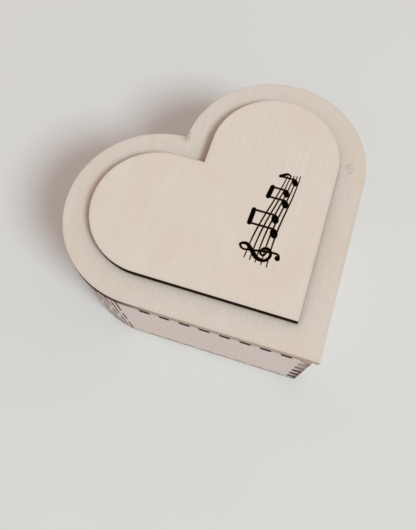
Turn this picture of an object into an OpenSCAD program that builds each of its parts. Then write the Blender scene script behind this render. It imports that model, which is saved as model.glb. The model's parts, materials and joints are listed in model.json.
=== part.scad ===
// Wind up music box: a heart-shaped plywood box with living-hinge lobes, a hinged lid with a raised
// heart panel, and an 18-note comb movement wound by a key in a recess underneath.
// Origin: centre of the footprint at the table. +Z up, the heart's tip towards -Y.

/* [Box] */
// Radius of each lobe of the lid outline
lobe_r = 28; // [28:0.5:30]
// Thickness of every plywood sheet
ply = 3; // [2.9:0.1:3.1]
// Height of the walls
wall_h = 36; // [36:1:40]
// Overhang of the lid past the walls
overhang = 0.8; // [0.6:0.1:1]
// How far the lid sits to the right of the walls
lid_shift = 1; // [0.8:0.1:1.2]
// Distance from the lid's edge to the raised panel
panel_inset = 8.5; // [6:0.5:10]
// Distance from the lid's edge to the opening of the top frame
frame_inset = 10.5; // [9:0.5:11]
// Gap that the laser leaves between sheets that fit together
saw_gap = 0.05; // [0.03:0.01:0.1]

/* [Finger joints] */
// Width of one tab
tab_w = 3; // [2.5:0.1:3.5]
// Distance between tab centres
tab_pitch = 6; // [5.5:0.1:6]
// Number of tabs on each straight side
tab_count = 8; // [4:1:8]
// Distance from the lid's tip corner to the first tab's centre
first_tab = 7.9; // [7.2:0.1:8.6]
// Number of fingers up the tip corner, both walls together
corner_fingers = 12; // [8:2:14]

/* [Living hinge] */
// Number of slit columns around each lobe
slit_columns = 48; // [32:4:52]
// Width of a slit
slit_w = 0.4; // [0.25:0.05:0.45]
// Wood left between two slits of one column
slit_bridge = 3; // [2.5:0.5:4]
// Wood left above and below the slits that stay closed
slit_margin = 2; // [1.5:0.5:3]

/* [Lid hinges] */
// Width of a hinge
hinge_w = 8; // [7:0.5:9]
// Outer diameter of a knuckle
knuckle_d = 1.5; // [1.4:0.05:1.5]
// Diameter of a hinge pin
hinge_pin_d = 0.7; // [0.6:0.05:0.8]
// Thickness of a hinge leaf
leaf_t = 0.4; // [0.3:0.05:0.4]
// Length of a hinge leaf from the pin
leaf_len = 8; // [7:0.5:8.5]

/* [Key recess] */
// Diameter of the finger hole in the bottom plate
key_hole_d = 30; // [27:1:32]
// Height of the blocks under the movement board
block_h = 10; // [10:0.5:11]
// Width of the winding key across its wings
key_w = 20; // [18:1:21]
// Thickness of the key's wings
key_t = 2; // [1.6:0.2:2.6]

/* [Movement] */
// Place of the spring arbor, left to right
arbor_x = -12; // [-12.2:0.1:-12]
// Place of the arbor and the cylinder, front to back
axis_y = 13; // [12.8:0.1:13]
// Thickness of the bedplate
bed_t = 1.5; // [1.4:0.1:1.6]
// Height of the cylinder's axis above the bedplate
axis_rise = 6; // [6:0.1:6.2]
// Radius of the cylinder without its pins
drum_r = 5; // [4.6:0.1:5]
// Length of the cylinder
drum_len = 18.6; // [18.4:0.1:18.6]
// How far the pins stand out of the cylinder
note_pin_h = 0.7; // [0.5:0.1:0.7]
// Number of comb teeth
tooth_count = 18; // [12:1:18]
// Distance between comb teeth
tooth_pitch = 1.02; // [0.9:0.01:1.02]

/* [Gear train] */
// Teeth on the great wheel
great_teeth = 36; // [36:1:36]
// Teeth on the cylinder's pinion
pinion_teeth = 12; // [12:1:12]
// Module of the great wheel and the cylinder's pinion
great_module = 0.53333; // [0.533:0.0001:0.534]
// Teeth on the cylinder's gear
gear_teeth = 36; // [36:1:36]
// Teeth on the intermediate pinion
small_teeth = 9; // [9:1:9]
// Module of the cylinder's gear and the intermediate pinion
gear_module = 0.3; // [0.3:0.01:0.3]
// Teeth on the worm wheel
worm_teeth = 20; // [20:1:20]
// Module of the worm wheel
worm_module = 0.35; // [0.35:0.01:0.35]
// Pitch radius of the worm
worm_r = 1.2; // [1.2:0.01:1.25]

/* [Hidden] */
$fn = 48;

// Gaps and overlaps
run_gap = 0.05;
press_gap = 0.02;
cut = 1;

// Heart frame: the tip corner of the lid outline sits on the Y axis at tip_y
root_2 = sqrt(2);
hinge_r = knuckle_d / 2;
hinge_off = hinge_r + 0.05;
tip_y = -(3 * lobe_r / root_2 + lobe_r + hinge_off + hinge_r - overhang) / 2;
lobe_x = lobe_r / root_2;
lobe_y = tip_y + 3 * lobe_r / root_2;
wall_out = overhang;
wall_in = overhang + ply;
wall_r = lobe_r - wall_out;
lid_x = max(0, (lid_shift - overhang) / 2);
box_x = lid_x - lid_shift;

// Heights
board_z = ply + block_h;
bed_z = board_z + ply;
bed_top = bed_z + bed_t;
axis_z = bed_top + axis_rise;
lid_z = wall_h;
panel_z = lid_z + ply;
frame_z = wall_h - ply;

// Lid hinges, at the far top of each lobe
hinge_y = lobe_y + wall_r + hinge_off;
hinge_z = wall_h - hinge_off;
knuckle_gap = 0.1;
knuckle_w = (hinge_w - 2 * knuckle_gap) / 3;
leaf_screw_x = wall_r * sin(180 / slit_columns);
leaf_hole_r = 0.5;
leaf_head_r = 0.9;
leaf_recess = leaf_t + 0.15;
leaf_screw_drop = 5;
leaf_screw_back = leaf_len - 2.5;

// Gear train
great_r = great_module * great_teeth / 2;
pinion_r = great_module * pinion_teeth / 2;
gear_r = gear_module * gear_teeth / 2;
small_r = gear_module * small_teeth / 2;
wheel_r = worm_module * worm_teeth / 2;
worm_lead = PI * worm_module;
mesh_angle = 10;
mid_y = axis_y + (gear_r + small_r) * cos(mesh_angle);
mid_z = axis_z + (gear_r + small_r) * sin(mesh_angle);
worm_y = mid_y + wheel_r + worm_r;
worm_x = 22.35;
crown_z = axis_z - pinion_r;
pinion_x = arbor_x + great_r;
crown_face = 2;
wheel_rim_r = great_r + crown_face / 2 + 0.1;

// Shafts
arbor_r = 1.6;
arbor_z = 7.1;
shaft_r = 0.8;
thin_r = 0.4;
plunger_r = 0.6;
drum_x = 0.8;
comb_z = axis_z - 0.45;
comb_t = 0.9;
comb_tip_y = axis_y - drum_r - note_pin_h - 0.15;
comb_back_y = comb_tip_y - 17;
comb_left = drum_x + 0.3;
comb_side = 0.6;
bush_r = 2.6;
foot_t = 1;
frame_x = 25.6;
post_t = 1;
plunger_y = 30;
plunger_z = 18.4;
guide_heights = [21, 24.9];
housing_r = 8.2;
housing_z = crown_z + 1;
housing_h = 10;
flange_t = 1;
pillar_r = 1.25;
pillar_d = 12.35;
pillar_angles = [100, 180, 260];
fan_z = 29.3;
fan_h = 2;
fan_r = 3;
brake_w = 1.6;
brake_y = 2.1;

// Where the fasteners go
block_places = [[0, -25], [-36, 15], [36, 15], [17, 30]];
bed_screw_places = [[-23, -6.5], [24, -6.5], [-5.5, 25.3], [12, 25.3]];
governor_screw_places = [[19.4, 26.2], [24, 20.6], [24, 12.2]];
comb_screw_places = [[4, comb_back_y + 1.8], [16.5, comb_back_y + 1.8]];
bracket_screw_places = [[1.8, 21]];
pillar_places = [for (a = pillar_angles) [arbor_x + pillar_d * cos(a), axis_y + pillar_d * sin(a)]];
screw_r = 0.8;
foot_screw_r = 0.6;
thin_screw_r = 0.7;

// ---------- shared shapes ----------

// Heart outline grown by off (negative shrinks it), with sharp corners at the tip and the cleft
module heart2d(off) {
    translate([0, tip_y]) rotate(45) union() {
        translate([-off, -off]) square([2 * lobe_r + off, 2 * lobe_r + 2 * off]);
        translate([-off, -off]) square([2 * lobe_r + 2 * off, 2 * lobe_r + off]);
        translate([2 * lobe_r, lobe_r]) circle(lobe_r + off, $fn = 96);
        translate([lobe_r, 2 * lobe_r]) circle(lobe_r + off, $fn = 96);
    }
}

module heart_plate(off, x, z, t) {
    translate([x, 0, z]) linear_extrude(t) heart2d(off);
}

// Places a child drawn along the right straight side (side 1) or its mirror image (side -1)
module on_side(side) {
    translate([box_x, 0, 0]) mirror([side < 0 ? 1 : 0, 0, 0])
        translate([0, tip_y, 0]) rotate([0, 0, 45]) children();
}

module tabs2d() {
    for (k = [0 : tab_count - 1])
        translate([first_tab + k * tab_pitch - tab_w / 2 + saw_gap, wall_out])
            square([tab_w - 2 * saw_gap, ply + cut]);
}

// Flat plate that fits inside the walls with tabs through them
module tabbed_plate2d() {
    heart2d(-wall_in - saw_gap);
    for (side = [-1, 1])
        mirror([side < 0 ? 1 : 0, 0]) translate([0, tip_y]) rotate(45) tabs2d();
}

module at_hinges() {
    for (side = [-1, 1]) translate([side * lobe_x + box_x, hinge_y, hinge_z]) children();
}

module rounded2d(w, d, r) {
    translate([r, 0]) square([w - 2 * r, d]);
    translate([0, r]) square([w, d - 2 * r]);
    for (x = [r, w - r], y = [r, d - r]) translate([x, y]) circle(r);
}

// Slotted pan-head screw: head above z = 0, shank below
module screw(head_r, head_h, shank_r, len) {
    difference() {
        union() {
            cylinder(h = head_h, r = head_r);
            translate([0, 0, -len]) cylinder(h = len + head_h / 2, r = shank_r);
        }
        translate([-head_r - cut, -head_r / 6, head_h * 0.55]) cube([2 * (head_r + cut), head_r / 3, head_h]);
    }
}

module screws(places, z, head_r, head_h, shank_r, len) {
    for (p = places) translate([p[0], p[1], z]) screw(head_r, head_h, shank_r, len);
}

module holes(places, z, h, r) {
    for (p = places) translate([p[0], p[1], z]) cylinder(h = h, r = r);
}

// Cylinder lying along +X from x, centred on (y, z)
module rod_x(x, len, y, z, r) {
    translate([x, y, z]) rotate([0, 90, 0]) cylinder(h = len, r = r);
}

// Straight-flanked gear outline with a tooth on the +X axis
module gear2d(teeth, pitch_r, addendum, dedendum, thick) {
    step = 360 / teeth;
    root = thick * 0.75 / (pitch_r - dedendum) * 180 / PI;
    tip = thick * 0.3 / (pitch_r + addendum) * 180 / PI;
    polygon([for (i = [0 : teeth - 1]) let (a = i * step)
        each [
            (pitch_r - dedendum) * [cos(a - root), sin(a - root)],
            (pitch_r + addendum) * [cos(a - tip), sin(a - tip)],
            (pitch_r + addendum) * [cos(a + tip), sin(a + tip)],
            (pitch_r - dedendum) * [cos(a + root), sin(a + root)]
        ]]);
}

// Gear on an axis along +X; phase 0 puts a tooth towards +Y
module gear_x(x, face, y, z, phase, bore_r, teeth, pitch_r, addendum, dedendum, thick) {
    translate([x, y, z]) rotate([90, 0, 90]) difference() {
        linear_extrude(face) rotate(phase) gear2d(teeth, pitch_r, addendum, dedendum, thick);
        translate([0, 0, -cut]) cylinder(h = face + 2 * cut, r = bore_r);
    }
}

// ---------- box ----------

module bottom_plate() {
    color("BurlyWood") difference() {
        translate([box_x, 0, 0]) linear_extrude(ply) tabbed_plate2d();
        translate([arbor_x, axis_y, -cut]) cylinder(h = ply + 2 * cut, d = key_hole_d, $fn = 96);
    }
}

module wall2d() {
    translate([wall_in, wall_out]) square([2 * lobe_r - wall_in, ply]);
    difference() {
        translate([2 * lobe_r, lobe_r]) circle(wall_r, $fn = 96);
        translate([2 * lobe_r, lobe_r]) circle(wall_r - ply, $fn = 96);
        translate([0, 0]) square([2 * lobe_r, 2 * lobe_r + cut]);
    }
    polygon([
        [2 * lobe_r - wall_in, 2 * lobe_r - wall_in],
        [2 * lobe_r, 2 * lobe_r - wall_in],
        [2 * lobe_r, 2 * lobe_r - wall_out],
        [2 * lobe_r - wall_out, 2 * lobe_r - wall_out]
    ]);
}

// One slit through the lobe, from z to z + len
module slit(angle, z, len) {
    translate([2 * lobe_r, lobe_r, z]) rotate([0, 0, angle])
        translate([wall_r - ply - cut, -slit_w / 2, 0]) cube([ply + 2 * cut, slit_w, len]);
}

// Columns alternate between slits open at both edges and slits closed at both edges
module slits() {
    open_len = (wall_h - 2 * slit_bridge) * 0.36;
    closed_len = (wall_h - slit_bridge) / 2 - slit_margin;
    for (k = [1 : slit_columns - 2]) let (a = -90 + (k + 0.5) * 180 / slit_columns) {
        if (k % 2 == 1) {
            slit(a, -cut, cut + open_len);
            slit(a, open_len + slit_bridge, wall_h - 2 * (open_len + slit_bridge));
            slit(a, wall_h - open_len, open_len + cut);
        } else {
            slit(a, slit_margin, closed_len);
            slit(a, wall_h - slit_margin - closed_len, closed_len);
        }
    }
}

module wall(side) {
    finger_h = wall_h / corner_fingers;
    difference() {
        on_side(side) difference() {
            union() {
                linear_extrude(wall_h) wall2d();
                for (i = [0 : corner_fingers - 1])
                    if (i % 2 == (side > 0 ? 1 : 0))
                        translate([wall_out, wall_out, i * finger_h]) cube([ply, ply, finger_h]);
            }
            for (k = [0 : tab_count - 1], z = [-cut, frame_z])
                translate([first_tab + k * tab_pitch - tab_w / 2, wall_out - cut, z])
                    cube([tab_w, ply + 2 * cut, ply + cut]);
            slits();
        }
        leaf_recesses();
        leaf_screw_holes();
    }
}

module left_wall() {
    color("Wheat") wall(-1);
}

module right_wall() {
    color("Wheat") wall(1);
}

module top_frame() {
    color("BurlyWood") difference() {
        translate([box_x, 0, frame_z]) linear_extrude(ply) difference() {
            tabbed_plate2d();
            heart2d(-frame_inset);
        }
        leaf_recesses();
    }
}

module movement_board() {
    color("BurlyWood") difference() {
        heart_plate(-wall_in - 0.3, box_x, board_z, ply);
        translate([arbor_x, axis_y, board_z - cut]) cylinder(h = ply + 2 * cut, r = 4.2);
        holes(block_places, board_z - cut, ply + 2 * cut, screw_r + press_gap);
        holes(bed_screw_places, board_z - cut, ply + 2 * cut, screw_r + press_gap);
    }
}

module board_blocks() {
    block_w = 8;
    screw_depth = 6;
    color("Tan") for (p = block_places) difference() {
        translate([p[0] - block_w / 2, p[1] - block_w / 2, ply]) cube([block_w, block_w, block_h]);
        translate([p[0], p[1], board_z - screw_depth])
            cylinder(h = screw_depth + cut, r = screw_r + press_gap);
    }
}

module board_screws() {
    color("Silver") screws(block_places, bed_z, 1.5, 0.9, screw_r, 8);
}

// ---------- lid ----------

module lid_plate() {
    color("Wheat") difference() {
        heart_plate(0, lid_x, lid_z, ply);
        at_hinges() for (x = [-leaf_screw_x, leaf_screw_x])
            translate([x, -leaf_screw_back, 0]) cylinder(h = 3, r = leaf_hole_r);
    }
}

module lid_panel() {
    color("Wheat") heart_plate(-panel_inset, lid_x, panel_z, ply);
}

// Shallow recesses in the walls and the top frame that the lid leaves close into
module leaf_recesses() {
    at_hinges() translate([-hinge_w / 2 - 0.2, -leaf_len - 0.2, hinge_off - leaf_recess])
        cube([hinge_w + 0.4, leaf_len, leaf_recess + cut]);
}

module leaf_screw_holes() {
    at_hinges() for (x = [-leaf_screw_x, leaf_screw_x])
        translate([x, 0, -leaf_screw_drop]) rotate([90, 0, 0]) cylinder(h = 3.3, r = leaf_hole_r);
}

module knuckle(x) {
    translate([x, 0, 0]) rotate([0, 90, 0]) cylinder(h = knuckle_w, r = hinge_r);
}

module pin_hole(r) {
    translate([-hinge_w / 2 - cut, 0, 0]) rotate([0, 90, 0]) cylinder(h = hinge_w + 2 * cut, r = r);
}

module hinge_box_leaves() {
    middle = knuckle_w / 2 + knuckle_gap;
    color("Goldenrod") at_hinges() difference() {
        union() {
            for (x = [-hinge_w / 2, middle]) {
                knuckle(x);
                translate([x, -hinge_r, -leaf_len]) cube([knuckle_w, leaf_t, leaf_len]);
            }
            translate([-hinge_w / 2, -hinge_r, -leaf_len]) cube([hinge_w, leaf_t, leaf_len - hinge_r - 0.15]);
        }
        pin_hole(hinge_pin_d / 2 + press_gap);
        for (x = [-leaf_screw_x, leaf_screw_x])
            translate([x, 1, -leaf_screw_drop]) rotate([90, 0, 0]) cylinder(h = 2.5, r = leaf_hole_r);
    }
}

module hinge_lid_leaves() {
    color("Goldenrod") at_hinges() difference() {
        union() {
            knuckle(-knuckle_w / 2);
            translate([-knuckle_w / 2, -leaf_len, hinge_r - leaf_t]) cube([knuckle_w, leaf_len, leaf_t]);
            translate([-hinge_w / 2, -leaf_len, hinge_r - leaf_t])
                cube([hinge_w, leaf_len - hinge_r - 0.15, leaf_t]);
        }
        pin_hole(hinge_pin_d / 2 + run_gap);
        for (x = [-leaf_screw_x, leaf_screw_x]) translate([x, -leaf_screw_back, -1]) {
            cylinder(h = 3, r = leaf_hole_r);
            cylinder(h = 1 + hinge_r - leaf_t / 3, r = leaf_head_r + press_gap);
        }
    }
}

module hinge_pins() {
    color("DarkGoldenrod") at_hinges()
        translate([-hinge_w / 2, 0, 0]) rotate([0, 90, 0]) cylinder(h = hinge_w, d = hinge_pin_d);
}

module hinge_box_screws() {
    color("DarkGoldenrod") at_hinges() for (x = [-leaf_screw_x, leaf_screw_x])
        translate([x, -hinge_r + leaf_t, -leaf_screw_drop]) rotate([-90, 0, 0])
            screw(leaf_head_r, 0.4, leaf_hole_r - press_gap, 2.6);
}

module hinge_lid_screws() {
    color("DarkGoldenrod") at_hinges() for (x = [-leaf_screw_x, leaf_screw_x])
        translate([x, -leaf_screw_back, hinge_r - leaf_t]) {
            cylinder(h = leaf_t * 0.6, r = leaf_head_r);
            cylinder(h = 2.6, r = leaf_hole_r - press_gap);
        }
}

// ---------- movement: base and spring ----------

module bedplate() {
    corner = [-26.5, -10, bed_z];
    size = [54, 38];
    corner_r = 3;
    ledge_d = 3.5;
    color("Silver") difference() {
        union() {
            translate(corner) linear_extrude(bed_t) rounded2d(size[0], size[1], corner_r);
            translate([comb_left - comb_side, comb_back_y, bed_top - bed_t / 3])
                cube([tooth_pitch * tooth_count + 2 * comb_side, ledge_d, comb_z - bed_top + bed_t / 3]);
        }
        translate([arbor_x, axis_y, bed_z - cut]) cylinder(h = bed_t + 2 * cut, r = bush_r + press_gap);
        holes(bed_screw_places, bed_z - cut, bed_t + 2 * cut, screw_r + press_gap);
        holes(comb_screw_places, comb_z - 4, 5, thin_screw_r + press_gap);
        holes(governor_screw_places, bed_z - cut, bed_t + 2 * cut, foot_screw_r + press_gap);
        holes(bracket_screw_places, bed_z - cut, bed_t + 2 * cut, foot_screw_r + press_gap);
        holes(pillar_places, bed_z - cut, bed_t + 2 * cut, thin_screw_r + press_gap);
    }
}

module bed_screws() {
    color("DimGray") screws(bed_screw_places, bed_top, 1.5, 0.9, screw_r, 4.2);
}

module arbor_bush() {
    color("Goldenrod") translate([arbor_x, axis_y, bed_z - 0.8]) difference() {
        union() {
            cylinder(h = 0.8, r = bush_r + 1);
            cylinder(h = 0.8 + bed_t + 0.2, r = bush_r);
        }
        translate([0, 0, -cut]) cylinder(h = bed_t + 3, r = arbor_r + run_gap);
    }
}

module winding_key() {
    wing_r = 4.2;
    wing_x = key_w / 2 - wing_r;
    wing_z = 5.2;
    hub_z = 4.5;
    hub_r = 2.7;
    color("Goldenrod") translate([arbor_x, axis_y, 0]) difference() {
        union() {
            translate([0, key_t / 2, 0]) rotate([90, 0, 0]) linear_extrude(key_t) difference() {
                union() {
                    for (x = [-wing_x, wing_x]) translate([x, wing_z]) circle(wing_r);
                    translate([-wing_x, wing_z - 2]) square([2 * wing_x, 5]);
                }
                for (x = [-wing_x - 0.6, wing_x + 0.6]) translate([x, wing_z]) circle(1.7);
            }
            translate([0, 0, hub_z]) cylinder(h = board_z - 0.5 - hub_z, r = hub_r);
        }
        translate([0, 0, arbor_z - 0.1]) cylinder(h = board_z, r = arbor_r + press_gap);
    }
}

module arbor() {
    color("Silver") translate([arbor_x, axis_y, arbor_z])
        cylinder(h = housing_z + housing_h + flange_t + 0.4 - arbor_z, r = arbor_r);
}

module great_wheel() {
    add = 0.8 * great_module;
    tooth_half = 0.27;
    color("Goldenrod") translate([arbor_x, axis_y, 0]) difference() {
        union() {
            translate([0, 0, bed_top + 0.3]) cylinder(h = 2.6, r = 3);
            translate([0, 0, bed_top + 0.8]) cylinder(h = crown_z - bed_top - 1.5, r = wheel_rim_r, $fn = 72);
            for (i = [0 : great_teeth - 1]) rotate([0, 0, (i + 0.5) * 360 / great_teeth])
                translate([great_r - crown_face / 2, 0, crown_z]) rotate([90, 0, 90])
                    linear_extrude(crown_face) polygon([
                        [-1.35 * tooth_half, -0.9], [1.35 * tooth_half, -0.9],
                        [0.6 * tooth_half, add], [-0.6 * tooth_half, add]
                    ]);
        }
        translate([0, 0, bed_top]) cylinder(h = 5, r = arbor_r + press_gap);
    }
}

module spring_housing() {
    color("Gainsboro") difference() {
        union() {
            translate([arbor_x, axis_y, housing_z]) cylinder(h = housing_h, r = housing_r, $fn = 72);
            translate([arbor_x, axis_y, housing_z + housing_h]) cylinder(h = flange_t, r = 10, $fn = 72);
            for (p = pillar_places)
                translate([p[0], p[1], housing_z + housing_h]) cylinder(h = flange_t, r = 2.2);
            for (a = pillar_angles) translate([arbor_x, axis_y, housing_z + housing_h]) rotate([0, 0, a])
                translate([0, -2.2, 0]) cube([pillar_d, 4.4, flange_t]);
        }
        translate([arbor_x, axis_y, housing_z - cut])
            cylinder(h = housing_h + cut, r = housing_r - 0.7, $fn = 72);
        translate([arbor_x, axis_y, housing_z]) cylinder(h = housing_h + 2, r = arbor_r + run_gap);
        holes(pillar_places, housing_z + housing_h - cut, flange_t + 2 * cut, thin_screw_r + press_gap);
    }
}

module housing_pillars() {
    color("Silver") for (p = pillar_places) difference() {
        translate([p[0], p[1], bed_top]) cylinder(h = housing_z + housing_h - bed_top, r = pillar_r);
        translate([p[0], p[1], housing_z + housing_h - 4]) cylinder(h = 5, r = thin_screw_r + press_gap);
    }
}

module housing_screws() {
    color("DimGray") screws(pillar_places, housing_z + housing_h + flange_t, 1.3, 0.8, thin_screw_r, 4);
}

module mainspring() {
    turns = 8;
    steps = 24;
    inner = arbor_r + 0.5;
    outer = housing_r - 1.2;
    strip = 0.25;
    rise = (outer - inner) / (turns * steps);
    color("SteelBlue") translate([arbor_x, axis_y, housing_z + 0.5]) linear_extrude(housing_h - 1)
        polygon([
            for (i = [0 : turns * steps]) (inner + i * rise) * [cos(i * 360 / steps), sin(i * 360 / steps)],
            for (i = [turns * steps : -1 : 0])
                (inner + i * rise + strip) * [cos(i * 360 / steps), sin(i * 360 / steps)]
        ]);
}

// ---------- movement: cylinder and comb ----------

module cylinder_drum() {
    color("Goldenrod") difference() {
        rod_x(drum_x, drum_len, axis_y, axis_z, drum_r);
        rod_x(drum_x - cut, drum_len + 2 * cut, axis_y, axis_z, shaft_r + press_gap);
        for (x = [drum_x - cut, drum_x + drum_len - 1])
            rod_x(x, cut + 1, axis_y, axis_z, drum_r - 0.8);
    }
}

// A pin stands on track i at step j where this rule holds: one or two notes on most beats of the tune
function plays(i, j) = (i * 5 + j * 7 + floor(j / 4) * (i + 3)) % tooth_count < 4 && (i + j) % 4 != 1;

module cylinder_pins() {
    beats = 32;
    color("Silver") for (i = [0 : tooth_count - 1], j = [0 : beats - 1])
        if (plays(i, j))
            translate([comb_left + tooth_pitch * (i + 0.5), axis_y, axis_z])
                rotate([j * 360 / beats, 0, 0]) translate([0, 0, drum_r - 0.3])
                    cylinder(h = note_pin_h + 0.3, r = 0.18, $fn = 8);
}

module cylinder_shaft() {
    color("Silver") rod_x(pinion_x - 1.1, frame_x + post_t - 0.1 - pinion_x + 1.1, axis_y, axis_z, shaft_r);
}

module cylinder_pinion() {
    color("Goldenrod") gear_x(pinion_x - 0.9, 1.8, axis_y, axis_z, -90, shaft_r + press_gap,
        pinion_teeth, pinion_r, 0.8 * great_module, great_module, 0.55);
}

module cylinder_gear() {
    color("Goldenrod") gear_x(19.9, 1, axis_y, axis_z, mesh_angle + 180 / gear_teeth, shaft_r + press_gap,
        gear_teeth, gear_r, 0.9 * gear_module, 1.2 * gear_module, 0.3);
}

module cylinder_bracket() {
    plate_x = -1;
    plate_t = 1.2;
    cheek = 2.4;
    color("Gainsboro") difference() {
        union() {
            translate([plate_x, axis_y - cheek, bed_top]) cube([plate_t, 2 * cheek, axis_rise + cheek]);
            translate([plate_x, axis_y - cheek, bed_top]) cube([plate_t, 12.6, 1.4 * foot_t]);
            translate([plate_x, 18.9, bed_top]) cube([4.8, 4.3, foot_t]);
        }
        rod_x(plate_x - cut, plate_t + 2 * cut, axis_y, axis_z, shaft_r + run_gap);
        holes(bracket_screw_places, bed_top - cut, 3, foot_screw_r + press_gap);
    }
}

module bracket_screws() {
    color("DimGray") screws(bracket_screw_places, bed_top + foot_t, 1.2, 0.8, foot_screw_r, 2.4);
}

module comb() {
    long = 13.4;
    short = 8.6;
    base = comb_tip_y - comb_back_y;
    right = tooth_count * tooth_pitch + comb_side;
    color("Silver") translate([comb_left, comb_back_y, comb_z]) difference() {
        linear_extrude(comb_t) union() {
            polygon([[-comb_side, 0], [right, 0], [right, base - short], [-comb_side, base - long]]);
            for (i = [0 : tooth_count - 1])
                translate([(i + 0.14) * tooth_pitch, base - long - 0.2])
                    square([tooth_pitch * 0.72, long + 0.2]);
        }
        holes([for (p = comb_screw_places) [p[0] - comb_left, p[1] - comb_back_y]],
            -cut, 3, thin_screw_r + press_gap);
    }
}

module comb_screws() {
    color("DimGray") screws(comb_screw_places, comb_z + comb_t, 1.4, 0.9, thin_screw_r, 3.6);
}

// ---------- movement: governor ----------

module governor_frame() {
    top_z = fan_z + fan_h + 0.7;
    end_x = frame_x + post_t;
    post_x = 17.6;
    post_y = 18.9;
    front_x = 22.6;
    front_y = 10.4;
    arm_x = worm_x - 1.6;
    arm_y = 22.6;
    arm_w = 3.5;
    color("Gainsboro") difference() {
        union() {
            translate([post_x, post_y, bed_top]) cube([end_x - post_x, 8.7, foot_t]);
            translate([front_x, front_y, bed_top]) cube([end_x - front_x, post_y - front_y + 0.1, foot_t]);
            translate([frame_x, front_y, bed_top]) cube([post_t, 21, axis_rise + 2.6]);
            translate([frame_x, arm_y, bed_top]) cube([post_t, arm_w, top_z + 1 - bed_top]);
            translate([arm_x, arm_y, top_z]) cube([end_x - arm_x, arm_w, 1]);
            translate([post_x, post_y, bed_top]) cube([post_t, 2, mid_z - bed_top + 1.4]);
            for (z = guide_heights)
                translate([arm_x, plunger_y - 1.6, z]) cube([end_x - arm_x, 3, 1]);
        }
        rod_x(frame_x - cut, post_t + 2 * cut, axis_y, axis_z, shaft_r + run_gap);
        rod_x(frame_x - cut, post_t + 2 * cut, mid_y, mid_z, thin_r + run_gap);
        rod_x(post_x - cut, post_t + 2 * cut, mid_y, mid_z, thin_r + run_gap);
        translate([worm_x, worm_y, bed_top + 0.3]) cylinder(h = 20, r = thin_r + run_gap);
        translate([worm_x, plunger_y, 20]) cylinder(h = 8, r = plunger_r + run_gap);
        holes(governor_screw_places, bed_top - cut, 3, foot_screw_r + press_gap);
    }
}

module governor_screws() {
    color("DimGray") screws(governor_screw_places, bed_top + foot_t, 1.2, 0.8, foot_screw_r, 2.4);
}

module intermediate_pinion() {
    color("Silver") union() {
        gear_x(19.7, 1.4, mid_y, mid_z, mesh_angle + 180, thin_r / 2,
            small_teeth, small_r, 0.9 * gear_module, 1.2 * gear_module, 0.32);
        rod_x(17.8, frame_x + post_t - 0.2 - 17.8, mid_y, mid_z, thin_r);
    }
}

module worm_wheel() {
    color("Goldenrod") gear_x(worm_x - 0.35, 0.7, mid_y, mid_z, 180 / worm_teeth, thin_r + press_gap,
        worm_teeth, wheel_r, 0.8 * worm_module, 1.3 * worm_module, 0.36);
}

// One thread of the worm: a trapezoid section carried along a right-hand helix
module worm_thread() {
    turns = 4;
    steps = 20;
    tip_r = worm_r + 0.8 * worm_module;
    root_r = 0.6;
    root_half = 0.3;
    tip_half = 0.13;
    rings = turns * steps;
    section = [[root_r, -root_half], [tip_r, -tip_half], [tip_r, tip_half], [root_r, root_half]];
    points = [
        for (i = [0 : rings], s = section) let (a = i * 360 / steps - 90)
            [s[0] * cos(a), s[0] * sin(a), s[1] + (i / steps - turns / 2) * worm_lead]
    ];
    faces = [
        [3, 2, 1, 0],
        for (i = [0 : rings - 1], k = [0 : 3])
            [4 * i + k, 4 * i + (k + 1) % 4, 4 * i + 4 + (k + 1) % 4, 4 * i + 4 + k],
        [4 * rings, 4 * rings + 1, 4 * rings + 2, 4 * rings + 3]
    ];
    polyhedron(points, faces, convexity = 8);
}

module worm() {
    color("Silver") translate([worm_x, worm_y, 0]) union() {
        translate([0, 0, bed_top + 0.35]) cylinder(h = fan_z + fan_h + 1.5 - bed_top - 0.35, r = thin_r);
        translate([0, 0, mid_z - 2.6]) cylinder(h = 5.2, r = 0.75);
        translate([0, 0, mid_z]) worm_thread();
    }
}

module fan() {
    color("White") translate([worm_x, worm_y, fan_z]) difference() {
        union() {
            cylinder(h = fan_h, r = 1);
            translate([-fan_r, -0.2, 0]) cube([2 * fan_r, 0.4, fan_h]);
            translate([0, 0, fan_h - 0.4]) cylinder(h = 0.4, r = fan_r);
        }
        translate([0, 0, -cut]) cylinder(h = fan_h + 2 * cut, r = thin_r + press_gap);
    }
}

module stop_plunger() {
    color("Silver") union() {
        translate([worm_x, plunger_y, plunger_z]) cylinder(h = lid_z - run_gap - plunger_z, r = plunger_r);
        translate([worm_x - brake_w / 2, worm_y + brake_y, fan_z + fan_h + 0.5])
            cube([brake_w, plunger_y - worm_y - brake_y, 0.6]);
    }
}

module brake_pad() {
    color("DarkRed") translate([worm_x - brake_w / 2, worm_y + brake_y, fan_z + fan_h + 0.1])
        cube([brake_w, 0.8, 0.4]);
}

bottom_plate();
left_wall();
right_wall();
top_frame();
movement_board();
board_blocks();
board_screws();
lid_plate();
lid_panel();
hinge_box_leaves();
hinge_lid_leaves();
hinge_pins();
hinge_box_screws();
hinge_lid_screws();
bedplate();
bed_screws();
arbor_bush();
winding_key();
arbor();
great_wheel();
spring_housing();
housing_pillars();
housing_screws();
mainspring();
cylinder_drum();  // cylinder
cylinder_pins();
cylinder_shaft();
cylinder_pinion();
cylinder_gear();
cylinder_bracket();
bracket_screws();
comb();
comb_screws();
governor_frame();
governor_screws();
intermediate_pinion();
worm_wheel();
worm();
fan();
stop_plunger();
brake_pad();
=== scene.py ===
"""Looks of the wind up music box: laser-cut plywood heart box with a comb movement inside."""

import json
import math

import bmesh
import bpy
from mathutils import Matrix, Quaternion, Vector

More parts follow.
